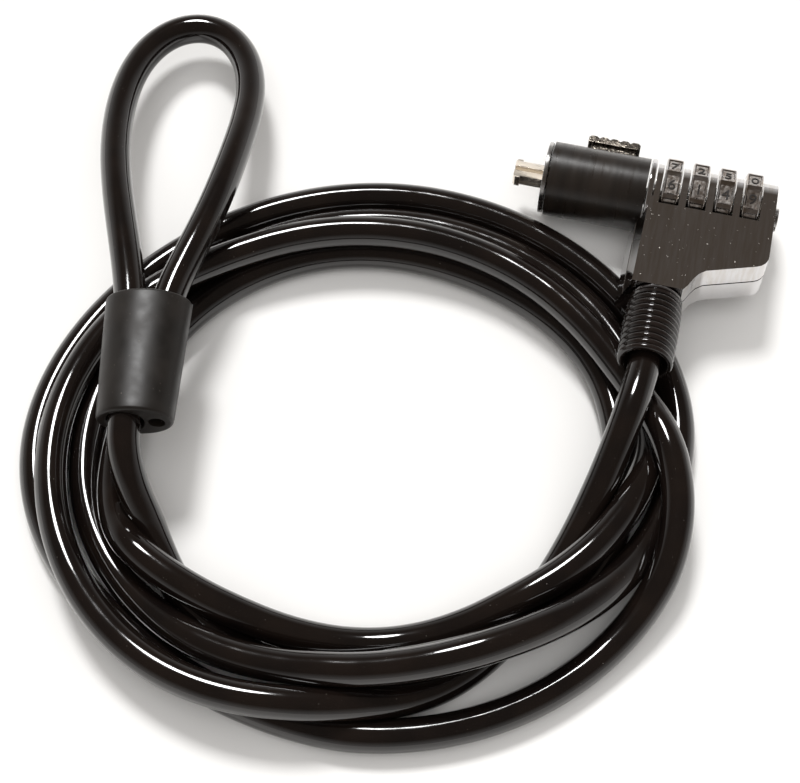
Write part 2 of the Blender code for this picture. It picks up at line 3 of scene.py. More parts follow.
import bpy
import numpy as np
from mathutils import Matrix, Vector


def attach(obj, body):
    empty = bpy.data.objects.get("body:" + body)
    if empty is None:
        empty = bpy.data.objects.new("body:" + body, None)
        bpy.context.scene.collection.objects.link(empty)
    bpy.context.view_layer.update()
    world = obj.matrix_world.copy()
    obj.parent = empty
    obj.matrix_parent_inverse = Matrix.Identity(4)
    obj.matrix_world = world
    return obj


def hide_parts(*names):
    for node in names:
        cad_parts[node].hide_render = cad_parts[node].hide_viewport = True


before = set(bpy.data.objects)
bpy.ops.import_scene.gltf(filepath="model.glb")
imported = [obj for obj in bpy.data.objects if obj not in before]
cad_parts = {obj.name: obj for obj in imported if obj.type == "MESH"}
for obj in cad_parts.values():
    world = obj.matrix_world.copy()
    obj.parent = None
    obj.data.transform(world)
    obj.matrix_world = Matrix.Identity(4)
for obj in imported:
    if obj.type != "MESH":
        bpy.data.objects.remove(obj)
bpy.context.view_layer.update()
scene = bpy.context.scene
mm = 0.001


def linearColour(code):
    # sRGB hex to linear light: (c + 0.055) / 1.055 to the power 2.4, above a short straight part
    parts = [int(code[i:i + 2], 16) / 255 for i in (1, 3, 5)]
    return (*[c / 12.92 if c <= 0.04045 else ((c + 0.055) / 1.055) ** 2.4 for c in parts], 1.0)


def addNode(tree, kind, inputs=None, **settings):
    made = tree.nodes.new(kind)
    for key, value in settings.items():
        setattr(made, key, value)
    for socket, value in (inputs or {}).items():
        if isinstance(value, bpy.types.NodeSocket):
            tree.links.new(value, made.inputs[socket])
        else:
            made.inputs[socket].default_value = value
    return made


# what a look has unless it says otherwise; a Size is a pattern's feature size, Depth a bump's height
plainLook = {"stretch": (1, 1, 1), "waveStretch": (1, 1, 1), "dust": "#8d8780", "dustSize": 0.5 * mm,
             "dustFrom": 0.74, "dustStretch": (1, 1, 1), "dustSoftness": 0.04, "dustRoughness": 0.35,
             "roughSize": 3 * mm, "grain": 0.2, "metallic": 0.0, "coatRoughness": 0.05}
noiseDetail = {"drift": 3.0, "dust": 1.0, "rough": 4.0, "grain": 3.0, "wave": 1.0}


def makeMaterial(name, given):
    # two tones drift together, dust lies on top, roughness wanders, and grain and waves set the bump
    look = {**plainLook, **given}
    material = bpy.data.materials.new(name)
    material.use_nodes = True
    tree = material.node_tree
    shader = tree.nodes["Principled BSDF"]
    place = addNode(tree, "ShaderNodeTexCoord").outputs["Object"]
    noise = {}
    for pattern, detail in noiseDetail.items():
        if pattern + "Size" not in look:
            continue
        stretch = look.get(pattern + "Stretch", look["stretch"])  # above 1 is longer along that axis
        scale = tuple(1 / (look[pattern + "Size"] * s) for s in stretch)
        mapped = addNode(tree, "ShaderNodeMapping", {"Vector": place, "Scale": scale})
        made = addNode(tree, "ShaderNodeTexNoise", {"Vector": mapped.outputs["Vector"],
                                                    "Scale": 1.0, "Detail": detail})
        noise[pattern] = made.outputs["Fac"]
    drift = addNode(tree, "ShaderNodeMapRange",
                    {"Value": noise["drift"], "From Min": 0.35, "From Max": 0.65})
    tones = addNode(tree, "ShaderNodeMix", {0: drift.outputs["Result"], 6: linearColour(look["tone"]),
                                            7: linearColour(look["otherTone"])}, data_type="RGBA")
    dust = addNode(tree, "ShaderNodeMapRange",
                   {"Value": noise["dust"], "From Min": look["dustFrom"],
                    "From Max": look["dustFrom"] + look["dustSoftness"]}).outputs["Result"]
    addDust = addNode(tree, "ShaderNodeMix", {0: dust, 6: tones.outputs[2],
                                              7: linearColour(look["dust"])}, data_type="RGBA")
    tree.links.new(addDust.outputs[2], shader.inputs["Base Color"])
    low, high = look["roughness"]
    rough = addNode(tree, "ShaderNodeMapRange", {"Value": noise["rough"], "From Min": 0.3,
                                                 "From Max": 0.7, "To Min": low, "To Max": high})
    dull = addNode(tree, "ShaderNodeMapRange", {"Value": dust, "To Max": look["dustRoughness"]})
    rough = addNode(tree, "ShaderNodeMath", {0: rough.outputs["Result"], 1: dull.outputs["Result"]})
    tree.links.new(rough.outputs[0], shader.inputs["Roughness"])
    bump = addNode(tree, "ShaderNodeBump", {"Height": noise["grain"], "Strength": look["grain"],
                                            "Distance": look["grainDepth"]}).outputs["Normal"]
    if "wave" in noise:
        bump = addNode(tree, "ShaderNodeBump", {"Height": noise["wave"], "Strength": 1.0,
                                                "Distance": look["waveDepth"],
                                                "Normal": bump}).outputs["Normal"]
    tree.links.new(bump, shader.inputs["Normal"])
    shader.inputs["Metallic"].default_value = look["metallic"]
    if "coat" in look:
        shader.inputs["Coat Weight"].default_value = look["coat"]
        shader.inputs["Coat Roughness"].default_value = look["coatRoughness"]
    if "specular" in look:
        shader.inputs["Specular IOR Level"].default_value = look["specular"]
    return material


def surfaceFaces(rows, columns, looped=False):
    # quads between neighbouring rings; columns close on themselves, and rows do if looped
    row = np.arange(rows if looped else rows - 1)[:, None]
    column = np.arange(columns)[None]
    following, below = (column + 1) % columns, (row + 1) % rows
    corners = (row * columns + column, row * columns + following,
               below * columns + following, below * columns + column)
    return np.stack(corners, axis=-1).reshape(-1, 4)


def outward(points, quads):
    # a closed surface that faces out has a positive volume: p0 . (p1 x p2), summed over triangles
    p = points[quads]
    first = np.einsum("ij,ij->i", p[:, 0], np.cross(p[:, 1], p[:, 2])).sum()
    second = np.einsum("ij,ij->i", p[:, 0], np.cross(p[:, 2], p[:, 3])).sum()
    return quads if first + second > 0 else quads[:, ::-1]


def loft(rings, looped=False):
    # rings is (rows, columns, 3); an end that isn't looped is closed by a fan to a pole in its middle
    rows, columns = rings.shape[:2]
    points = rings.reshape(-1, 3)
    quads = surfaceFaces(rows, columns, looped)
    if not looped:
        poles = np.array([rings[0].mean(axis=0), rings[-1].mean(axis=0)])
        around = np.arange(columns)
        following = (around + 1) % columns
        start, end = len(points), len(points) + 1
        last = (rows - 1) * columns
        points = np.concatenate([points, poles])
        first, final = last + around, last + following
        fans = [np.stack([np.full(columns, start), following, around, around], axis=1),
                np.stack([np.full(columns, end), first, final, final], axis=1)]
        quads = np.concatenate([quads, *fans])
    return points, outward(points, quads)


def meshFrom(name, points, faces):
    # four corners to a face, and a corner that repeats the one before it is left out: a triangle
    kept = np.ones(faces.shape, bool)
    kept[:, 1:] = faces[:, 1:] != faces[:, :-1]
    corners = kept.sum(axis=1)
    mesh = bpy.data.meshes.new(name)
    mesh.vertices.add(len(points))
    mesh.vertices.foreach_set("co", points.astype(np.float32).ravel())
    mesh.loops.add(int(corners.sum()))
    mesh.loops.foreach_set("vertex_index", faces[kept].astype(np.int32))
    mesh.polygons.add(len(faces))
    mesh.polygons.foreach_set("loop_start", (np.cumsum(corners) - corners).astype(np.int32))
    mesh.update(calc_edges=True)
    return mesh


def makePiece(name, parts, materials, body, sharpAngle=40):
    # parts are (points, faces, material number), joined into one mesh
    points = np.concatenate([part[0] for part in parts])
    starts = np.cumsum([0] + [len(part[0]) for part in parts[:-1]])
    faces = np.concatenate([part[1] + start for part, start in zip(parts, starts)])
    mesh = meshFrom(name, points, faces)
    numbers = np.concatenate([np.broadcast_to(part[2], len(part[1])) for part in parts])
    mesh.polygons.foreach_set("material_index", numbers.astype(np.int32))
    for material in materials:
        mesh.materials.append(material)
    mesh.shade_smooth()
    mesh.set_sharp_from_angle(angle=math.radians(sharpAngle))
    made = bpy.data.objects.new(name, mesh)
    scene.collection.objects.link(made)
    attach(made, body)
    return made


# the lock head's own axes: X from tip to reset disc, Y to the button, Z out of the cover
headSettings = {"pitch": math.radians(-5.5), "farY": -43.0 * mm, "buttonTopY": 11.2 * mm,
                "footZ": -9.0 * mm, "footHalfWidth": 3.5 * mm, "shiftX": 0.25 * mm}


def headPoints(local):
    # turns about X by the pitch, then stands the head on its feet
    local = np.asarray(local, float)
    cosine, sine = math.cos(headSettings["pitch"]), math.sin(headSettings["pitch"])
    shiftY = -(headSettings["farY"] + headSettings["buttonTopY"]) / 2 * cosine
    shiftZ = -headSettings["footZ"] * cosine - headSettings["footHalfWidth"] * sine
    x, y, z = local[..., 0], local[..., 1], local[..., 2]
    return np.stack([x + headSettings["shiftX"], y * cosine - z * sine + shiftY,
                     y * sine + z * cosine + shiftZ], axis=-1)


cameraSettings = {"place": (-0.0021, -0.1981, 0.3017), "aim": (-0.0397, -0.0351, 0.0), "lens": 78.3,
                  "sensor": 36, "nearest": 0.01}


def aimed(place, aim):
    # looks along -Z from place to aim, with +Y kept up
    return (Vector(aim) - Vector(place)).to_track_quat("-Z", "Y").to_euler()


def makeCamera():
    camera = bpy.data.objects.new("camera", bpy.data.cameras.new("camera"))
    camera.location = cameraSettings["place"]
    camera.rotation_euler = aimed(cameraSettings["place"], cameraSettings["aim"])
    camera.data.lens = cameraSettings["lens"]
    camera.data.sensor_width = cameraSettings["sensor"]
    camera.data.clip_start = cameraSettings["nearest"]
    scene.collection.objects.link(camera)
    scene.camera = camera


floorSettings = {"half": 8.0, "tone": "#f4f3f1", "otherTone": "#efeeec", "driftSize": 0.2,
                 "roughness": (0.55, 0.7), "grainSize": 2 * mm, "grainDepth": 0.01 * mm,
                 "dustFrom": 0.95, "specular": 0.1}


def makeFloor():
    half = floorSettings["half"]
    mesh = bpy.data.meshes.new("floor")
    mesh.from_pydata([(-half, -half, 0), (half, -half, 0), (half, half, 0), (-half, half, 0)], [],
                     [(0, 1, 2, 3)])
    # backdrop paper: matt and nearly white
    mesh.materials.append(makeMaterial("floor_paper", floorSettings))
    floor = bpy.data.objects.new("floor", mesh)
    scene.collection.objects.link(floor)


lightSettings = {
    "key": {"kind": "SUN", "from": (-0.24, 0.47, 0.86), "power": 2.1, "angle": 14},
    "fill": {"kind": "SUN", "from": (0.2, -0.9, 1.6), "power": 0.75, "angle": 60, "glossy": False},
    "top": {"kind": "SUN", "from": (0.1, 0.1, 1.0), "power": 1.15, "angle": 90, "glossy": False},
}
worldSettings = {"horizon": "#c8c6c4", "zenith": "#544d47", "low": 0.12, "high": 0.55,
                 "strength": 1.0}


def makeLights():
    for name, light in lightSettings.items():
        data = bpy.data.lights.new(name, light["kind"])
        data.energy = light["power"]
        data.angle = math.radians(light["angle"])
        made = bpy.data.objects.new(name, data)
        made.rotation_euler = aimed(light["from"], (0, 0, 0))
        made.visible_glossy = light.get("glossy", True)
        scene.collection.objects.link(made)
    world = bpy.data.worlds.new("studio")
    world.use_nodes = True
    tree = world.node_tree
    # dim overhead and bright at the horizon, so a level mirror looks dark and a wall bright
    direction = addNode(tree, "ShaderNodeTexCoord").outputs["Generated"]
    height = addNode(tree, "ShaderNodeSeparateXYZ", {0: direction}).outputs["Z"]
    share = addNode(tree, "ShaderNodeMapRange", {"Value": height, "From Min": worldSettings["low"],
                                                 "From Max": worldSettings["high"]})
    colour = addNode(tree, "ShaderNodeMix", {0: share.outputs["Result"],
                                             6: linearColour(worldSettings["horizon"]),
                                             7: linearColour(worldSettings["zenith"])},
                     data_type="RGBA")
    tree.links.new(colour.outputs[2], tree.nodes["Background"].inputs["Color"])
    tree.nodes["Background"].inputs["Strength"].default_value = worldSettings["strength"]
    scene.world = world
    scene.view_settings.view_transform = "Standard"


makeCamera()
makeFloor()
makeLights()
print("camera, floor and lights made")


# the cable: from the head, four and a half turns, up into the sleeve and round the eye
cordSettings = {
    "radius": 3.1 * mm, "step": 2.4 * mm, "rounds": 900, "sides": 24, "fade": 8,
    "planStiffness": 60.0, "stiffness": 5.0,
    "start": (0.0058, -0.0278, 0.0015), "mouth": (0.0058, -0.0430, 0.0015),  # in the head's own axes
    "anchorLeg": 7, "lateFrom": 0.75, "fall": (0.04, 0.02), "pull": (0.06, 0.03),  # early, then late
    "evenOut": 0.3, "spacing": 1.02, "nearby": 1.5, "searchEvery": 10,
    "push": 0.6, "pushShare": (0.35, 0.35, 1.0),
    "perKnot": 3, "perPlan": 8, "perSettled": 4,  # points that smoothRoute makes for each one given
    "centre": (-44.5 * mm, -53.0 * mm), "zeroAngle": -13,
    "lead": [(5.4, -34.5, 15.2), (4.2, -42.5, 14.0), (2.6, -51.0, 10.8)],
    "tail": [(-76.5, -80.0, 7.0), (-80.6, -76.0, 11.0), (-83.6, -70.6, 15.6)],
    "sleeveBack": (-83.5, -62.6, 19.0), "sleeveFront": (-88.4, -37.1, 19.0),
    "tailAside": 1.8 * mm, "legAside": 3.4 * mm,
    "eye": [(-97.6, -24.5, 18.2), (-103.6, -10.6, 16.0), (-108.4, 2.5, 13.5), (-111.2, 20.0, 10.6),
            (-110.0, 30.4, 9.2), (-106.4, 37.4, 8.4), (-101.2, 40.2, 8.2), (-95.8, 39.0, 8.4),
            (-90.4, 33.8, 9.4), (-86.4, 26.0, 10.8), (-84.2, 16.4, 12.8), (-83.4, 6.0, 15.0),
            (-82.8, -6.0, 17.4), (-83.2, -20.0, 18.8)],
    # each turn, listed: (degrees clockwise, mm from the winding's centre, mm above the surface)
    "turns": [
        [(111, 45, 6.5), (123, 44.5, 3), (135, 45.5, 3), (147, 47, 3), (160, 49, 3), (172, 49.5, 5.5),
         (184, 50.5, 8.5), (196, 53, 9.5), (209, 55, 9.5), (224, 56.5, 9.5), (240, 57.5, 9.5),
         (257, 57, 9), (270, 57.5, 7), (284, 57, 7), (298, 55, 9), (310, 52.5, 9), (322, 50, 9),
         (336, 49, 9), (350, 48.5, 9.5)],
        [(5, 48.5, 9.5), (22, 49, 9), (35, 50, 9.5), (49, 51, 9.5), (60, 52, 9), (70, 53, 9),
         (78, 54, 9), (84, 56, 9.5), (90, 58.5, 9.5), (98, 61, 9.5), (108, 62, 6.5), (120, 61.5, 3),
         (137, 59.5, 3), (153, 58, 3), (171, 55, 3), (185, 53.5, 3), (200, 53, 3), (212, 53, 3),
         (224, 53.5, 3), (236, 55.5, 3), (248, 58, 3), (260, 60.5, 3), (275, 61.5, 3), (290, 61, 3),
         (306, 60, 3), (323, 59.5, 3), (344, 60, 3)],
        [(0, 61, 3), (17, 62, 3), (38, 63, 3), (52, 64, 3), (66, 64, 3), (80, 63, 3), (93, 61.5, 3),
         (103, 59, 3), (115, 56.5, 4.5), (127, 54, 8), (137, 51.5, 9), (147, 49.5, 12),
         (160, 47.5, 9), (173, 46.5, 9), (186, 46, 9), (200, 46.5, 9), (214, 47.5, 7.5),
         (230, 49, 4.5), (250, 51, 3), (270, 51.5, 3), (290, 52, 3), (315, 52.5, 3), (335, 53, 3),
         (350, 54, 3)],
        [(5, 55, 3), (20, 55.5, 3), (40, 57, 3), (55, 58, 4), (69, 58, 5.5), (80, 57.5, 4.5),
         (89, 56, 6), (97, 54, 9), (106, 51.5, 9.5), (115, 49.5, 9.5), (124, 47.5, 9.5),
         (136, 44.5, 8), (146, 42, 5), (156, 40, 3), (166, 38.5, 3), (177, 38, 3), (188, 38, 3),
         (200, 38.5, 4), (212, 39.5, 5.5), (222, 41, 8), (231, 42, 9.5), (240, 43.5, 8.5),
         (251, 45, 5.5), (262, 45.5, 3), (280, 46, 3), (295, 46, 3), (315, 46.5, 3), (345, 47, 3)],
        [(0, 47.5, 3), (12, 47.5, 3), (26, 47.5, 3), (42, 49, 3), (57, 51, 3), (70, 52.5, 3),
         (85, 52.5, 3), (100, 52, 3), (112, 52, 3), (125, 51, 3), (136, 49, 6), (147, 47, 9.5),
         (156, 45.5, 6), (168, 44.5, 3), (180, 44, 3), (200, 44.5, 3), (218, 44, 3),
         (231, 42.5, 3.5)],
    ],
}
cordLook = {"tone": "#0f0b0a", "otherTone": "#17110e", "driftSize": 9 * mm, "roughness": (0.07, 0.13),
            "roughSize": 5 * mm, "grainSize": 0.25 * mm, "grainDepth": 0.004 * mm, "grain": 0.35,
            "waveSize": 7 * mm, "waveDepth": 0.09 * mm, "dustSize": 0.35 * mm, "dustFrom": 0.79,
            "dust": "#6f6963", "coat": 0.4, "coatRoughness": 0.04}


def unit(vectors):
    return vectors / np.maximum(np.linalg.norm(vectors, axis=-1, keepdims=True), 1e-12)


def smoothRoute(points, count):
    # Catmull-Rom: each stretch is a cubic in t through its two points, shaped by the two beyond
    route = np.asarray(points, float)
    padded = np.concatenate([2 * route[:1] - route[1:2], route, 2 * route[-1:] - route[-2:-1]])
    a, b, c, d = (padded[i:len(padded) - 3 + i, None] for i in range(4))
    t = np.linspace(0, 1, count, endpoint=False)[None, :, None]
    cubic, square = 3 * b - a - 3 * c + d, 2 * a - 5 * b + 4 * c - d
    curve = (cubic * t**3 + square * t**2 + (c - a) * t + 2 * b) / 2
    return np.concatenate([curve.reshape(-1, 3), route[-1:]])


def evenly(line, step):
    run = np.concatenate([[0], np.cumsum(np.linalg.norm(np.diff(line, axis=0), axis=1))])
    places = np.linspace(0, run[-1], round(run[-1] / step) + 1)
    return np.stack([np.interp(places, run, line[:, i]) for i in range(3)], axis=1)


def sleeveAxes():
    back, front = (np.array(cordSettings[end]) * mm for end in ("sleeveBack", "sleeveFront"))
    along = unit(front - back)
    return back, front, along, unit(np.cross(along, (0, 0, 1)))


def cordRoute():
    back, front, along, aside = sleeveAxes()
    start, mouth = headPoints(cordSettings["start"]), headPoints(cordSettings["mouth"])
    lead = [start, (start + mouth) / 2, mouth, *np.array(cordSettings["lead"]) * mm]
    entry = back - aside * cordSettings["tailAside"]
    tail = [*np.array(cordSettings["tail"]) * mm, entry - along * mm]
    knots = []
    for turn, strand in enumerate(cordSettings["turns"]):
        knots += [(turn * 360 + degrees, radius * mm, height * mm)
                  for degrees, radius, height in strand]
    winding = smoothRoute(knots, cordSettings["perKnot"])
    angle = np.radians(winding[:, 0] + cordSettings["zeroAngle"])
    coil = np.stack([cordSettings["centre"][0] + winding[:, 1] * np.sin(angle),
                     cordSettings["centre"][1] + winding[:, 1] * np.cos(angle), winding[:, 2]], axis=1)
    leg, spread = along * cordSettings["anchorLeg"] * mm, aside * cordSettings["legAside"]
    eye = [(entry + front - spread) / 2, front - spread,
           *np.array(cordSettings["eye"]) * mm, front + spread, front + spread - leg]
    route = smoothRoute([*lead, *coil, *tail, *eye], cordSettings["perPlan"])
    line = evenly(route, cordSettings["step"])
    ends = [int(np.argmin(np.linalg.norm(line - spot, axis=1))) for spot in (lead[3], tail[-1])]
    return line, ends


def stiffness(count, free, strength):
    # one implicit step of bending: the inverse of I + k D'D, where D takes second differences
    second = np.eye(count, k=-1) - 2 * np.eye(count) + np.eye(count, k=1)
    second[[0, -1]] = 0
    return np.linalg.inv(np.eye(count) + strength * free[:, None] * (second.T @ second))


def settleCord(line, ends):
    # gravity, a pull back to the plan, bending stiffness and contact, for a fixed number of rounds
    count, rounds, width = len(line), cordSettings["rounds"], 2 * cordSettings["radius"]
    free, fade = np.zeros(count), cordSettings["fade"]
    free[ends[0]:ends[1]] = 1
    free[ends[0]:ends[0] + fade] = np.linspace(0, 1, fade)
    free[ends[1] - fade:ends[1]] = np.linspace(1, 0, fade)
    held = free[:, None]
    apart = math.ceil(2 * width / cordSettings["step"])
    number = np.arange(count)
    separate = np.abs(number[:, None] - number[None]) > apart
    beyond = (number > ends[1]).astype(float)
    beyond[[-2, -1]] = 0
    line = stiffness(count, np.maximum(free, beyond), cordSettings["planStiffness"]) @ line
    bending = stiffness(count, free, cordSettings["stiffness"])
    points = line.copy()
    for turn in range(rounds):
        if turn % cordSettings["searchEvery"] == 0:
            gaps = np.linalg.norm(points[:, None] - points[None], axis=2)
            one, other = np.nonzero((gaps < cordSettings["nearby"] * width) & separate)
        late = int(turn > rounds * cordSettings["lateFrom"])
        points[:, 2] -= cordSettings["fall"][late] * mm * free
        points[:, :2] += cordSettings["pull"][late] * held * (line - points)[:, :2]
        points = bending @ points
        middle, tangent = np.zeros_like(points), np.zeros_like(points)
        middle[1:-1] = (points[:-2] + points[2:]) / 2 - points[1:-1]
        tangent[1:-1] = points[2:] - points[:-2]
        tangent = unit(tangent)
        slide = (middle * tangent).sum(axis=1, keepdims=True)
        points += cordSettings["evenOut"] * held * tangent * slide
        between = points[one] - points[other]
        gap = np.linalg.norm(between, axis=1) + 1e-12
        over = np.maximum(cordSettings["spacing"] * width - gap, 0)
        touching = np.maximum(np.bincount(one, over > 0, count), 1)
        push = np.stack([np.bincount(one, over / gap * between[:, i], count)
                         for i in range(3)], axis=1)
        points += (cordSettings["push"] * held * push / touching[:, None]
                   * np.array(cordSettings["pushShare"]))
        points[:, 2] = np.maximum(points[:, 2], cordSettings["radius"])
    return points


def tubeRings(path, radius, sides):
    # p(u, v) = path(u) + r (side(u) cos v + up(u) sin v), with side level and up square to the path
    tangent = unit(np.gradient(path, axis=0))
    side = unit(np.cross(tangent, (0, 0, 1)))
    up = np.cross(side, tangent)
    angle = np.linspace(0, 2 * math.pi, sides, endpoint=False)[None, :, None]
    radius = np.broadcast_to(radius, len(path))[:, None, None]
    return path[:, None] + radius * (side[:, None] * np.cos(angle) + up[:, None] * np.sin(angle))


def makeCable():
    line, ends = cordRoute()
    settled = settleCord(line, ends)
    path = evenly(smoothRoute(settled, cordSettings["perSettled"]), cordSettings["step"] / 2)
    length = float(np.linalg.norm(np.diff(path, axis=0), axis=1).sum())
    rings = tubeRings(path, cordSettings["radius"], cordSettings["sides"])
    # extruded PVC over a steel rope: near black and glossy, a little uneven along its length
    jacket = makeMaterial("pvc_cable_jacket", cordLook)
    cable = makePiece("cable", [(*loft(rings), 0)], [jacket], "lock_body")
    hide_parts("cable_lead", "cable_coil", "cable_tail", "cable_loop")
    print(f"cable laid, {length:.3f} m, highest {path[:, 2].max() * 1000:.1f} mm")
    return cable, path


cable, cablePath = makeCable()


sleeveSettings = {"backSize": (7.2 * mm, 5.1 * mm), "frontSize": (8.3 * mm, 5.5 * mm), "wall": 1.2 * mm,
                  "rim": 0.7 * mm, "depth": 9.0 * mm, "hole": 3.45 * mm, "holeDepth": 3.2 * mm,
                  "columns": 120, "seam": 0.1 * mm, "seamWidth": 0.035, "seamFrom": -0.01 * mm,
                  "rimSteps": 7, "rows": 24,
                  "holeFlare": 0.3 * mm, "spareAside": 4.1 * mm, "spareRadius": 1.6 * mm,
                  "spareSides": 40, "spareFrom": -2, "spareTo": 5}
mouldedLook = {"tone": "#130f0d", "otherTone": "#1f1815", "driftSize": 8 * mm, "roughness": (0.1, 0.2),
               "roughSize": 4 * mm, "grainSize": 0.3 * mm, "grainDepth": 0.012 * mm, "grain": 0.4,
               "waveSize": 6 * mm, "waveDepth": 0.12 * mm, "dustSize": 0.4 * mm, "dustFrom": 0.77,
               "dust": "#6b655e", "coat": 0.35, "coatRoughness": 0.07}
sleeveLook = {**mouldedLook, "tone": "#120f0c", "otherTone": "#1a1511", "roughness": (0.38, 0.5),
              "coat": 0.0, "waveDepth": 0.06 * mm}
# vinyl moulded in a blasted tool: satin, with a broad soft highlight
sleeveVinyl = makeMaterial("satin_vinyl_sleeve", sleeveLook)
# vinyl moulded in a polished tool: black, glossy and faintly rippled
moulded = makeMaterial("moulded_vinyl", mouldedLook)


def makeLoopSleeve():
    # an oval loft, its rows from inside the open front, over the rim, down the outside, into the hole
    back, front, along, aside = sleeveAxes()
    length = float(np.linalg.norm(front - back))
    wall, rim, depth = (sleeveSettings[key] for key in ("wall", "rim", "depth"))
    quarter = np.linspace(0, math.pi / 2, sleeveSettings["rimSteps"])
    inner = [(length - depth, -wall), (length - rim, -wall)]
    frontRim = [(length - rim + rim * math.sin(a), -wall + (wall - rim) * math.sin(a))
                for a in quarter[1:]]
    frontRim += [(length - rim + rim * math.cos(a), -rim + rim * math.sin(a)) for a in quarter[1:]]
    outside = [(s, 0) for s in np.linspace(length - rim, rim, sleeveSettings["rows"])[1:]]
    backRim = [(rim - rim * math.sin(a), -rim + rim * math.cos(a)) for a in quarter[1:]]
    rows = np.array(inner + frontRim + outside + backRim)
    angle = np.linspace(0, 2 * math.pi, sleeveSettings["columns"], endpoint=False)
    share = (rows[:, 0] / length)[:, None]
    sizes = [sleeveSettings["backSize"][i] * (1 - share) + sleeveSettings["frontSize"][i] * share
             + rows[:, 1][:, None] for i in range(2)]
    # a mould seam along both sides: a ridge of e to the minus (angle from the seam / width) squared
    offSeam = np.abs((angle + math.pi / 2) % math.pi - math.pi / 2)
    onOutside = (rows[:, 1] > sleeveSettings["seamFrom"])[:, None]
    ridge = sleeveSettings["seam"] * np.exp(-(offSeam / sleeveSettings["seamWidth"]) ** 2) * onOutside
    across = (sizes[0] + ridge) * np.cos(angle)
    height = sizes[1] * np.sin(angle)
    centre = back + rows[:, :1] * along
    body = centre[:, None] + across[..., None] * aside + height[..., None] * np.array([0, 0, 1.0])
    hole, holeDepth, flare = (sleeveSettings[key] for key in ("hole", "holeDepth", "holeFlare"))
    circle = np.cos(angle)[:, None] * aside + np.sin(angle)[:, None] * np.array([0, 0, 1.0])
    entry = back - aside * cordSettings["tailAside"]
    inside = np.array([entry + (hole + flare) * circle, entry + along * flare + hole * circle,
                       entry + along * holeDepth + hole * circle])
    rings = np.concatenate([body, inside])
    sleeve = makePiece("eye_sleeve", [(*loft(rings), 0)], [sleeveVinyl], "lock_body")
    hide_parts("loop_sleeve")
    spare = back + aside * sleeveSettings["spareAside"]
    reach = np.array([sleeveSettings["spareFrom"], 0, sleeveSettings["spareTo"]])
    path = spare + along * reach[:, None] * mm
    drillHole(sleeve, tubeRings(path, sleeveSettings["spareRadius"], sleeveSettings["spareSides"]))
    return sleeve


def drillHole(piece, rings):
    # cuts the rings' tube from the piece for good, and leaves no cutter behind
    mesh = meshFrom("drill", *loft(rings))
    mesh.shade_flat()  # flat faces give the hole a crisp rim
    drill = bpy.data.objects.new("drill", mesh)
    scene.collection.objects.link(drill)
    cut = piece.modifiers.new("hole", "BOOLEAN")
    cut.object, cut.operation = drill, "DIFFERENCE"
    graph = bpy.context.evaluated_depsgraph_get()
    drilled = bpy.data.meshes.new_from_object(piece.evaluated_get(graph))
    piece.modifiers.clear()
    piece.data = drilled
    bpy.data.objects.remove(drill)


eyeSleeve = makeLoopSleeve()


# the rows of the collar and the mouth are (along, radius) in mm
reliefSettings = {
    "x": 5.8 * mm, "z": 1.5 * mm, "start": -27.5 * mm, "length": 15.5 * mm, "bore": 3.4 * mm,
    "collar": 1.8 * mm, "mouth": 1.1 * mm, "ribs": 9, "ribHeight": 0.6 * mm, "ribPower": 0.6,
    "neckR": 4.5 * mm, "bulge": 0.4 * mm, "bulgeFrom": 0.1, "bulgeSpan": 0.75, "perRib": 12,
    "columns": 72,
    "collarRows": [(0, 4.6), (0, 5.0), (0.12, 5.15), (0.75, 5.2), (0.85, 5.0), (0.95, 5.0), (1.05, 5.2),
                   (1.6, 5.2), (1.72, 5.05)],
    "mouthRows": [(0.1, 5.25), (0.35, 5.4), (0.8, 5.35), (1.05, 5.1), (1.1, 4.9), (1.1, 4.45),
                  (1.0, 4.25), (0.4, 4.1), (-1.2, 3.9), (-2.2, 3.4)],
}


def makeStrainRelief():
    # turned: r(s) = neck + bulge sin(pi (from + span s)) + rib |sin|^power, then the mouth and the bore
    length, collar, mouth = (reliefSettings[key] for key in ("length", "collar", "mouth"))
    ribs, perRib = reliefSettings["ribs"], reliefSettings["perRib"]
    along = np.linspace(collar, length - mouth, ribs * perRib + 1)
    phase = np.linspace(0, ribs * math.pi, ribs * perRib + 1)
    wave = np.abs(np.sin(phase)) ** reliefSettings["ribPower"]
    rise = reliefSettings["bulgeFrom"] + reliefSettings["bulgeSpan"] * along / length
    swell = reliefSettings["bulge"] * np.sin(math.pi * rise)
    radius = reliefSettings["neckR"] + swell + reliefSettings["ribHeight"] * wave
    bore = reliefSettings["bore"]
    rows = [np.array(reliefSettings["collarRows"]) * mm, np.stack([along, radius], axis=1),
            np.array(reliefSettings["mouthRows"]) * mm + np.array([length - mouth, 0]),
            np.array([(length * 0.5, bore), (0, bore)])]
    rows = np.concatenate(rows)
    angle = np.linspace(0, 2 * math.pi, reliefSettings["columns"], endpoint=False)
    level = np.broadcast_to(reliefSettings["start"] - rows[:, :1], (len(rows), len(angle)))
    rings = np.stack([reliefSettings["x"] + rows[:, 1:] * np.cos(angle), level,
                      reliefSettings["z"] + rows[:, 1:] * np.sin(angle)], axis=-1)
    relief = makePiece("ribbed_relief", [(*loft(headPoints(rings), looped=True), 0)], [moulded],
                       "lock_body", sharpAngle=50)
    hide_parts("strain_relief")


makeStrainRelief()
print("sleeve and strain relief made")


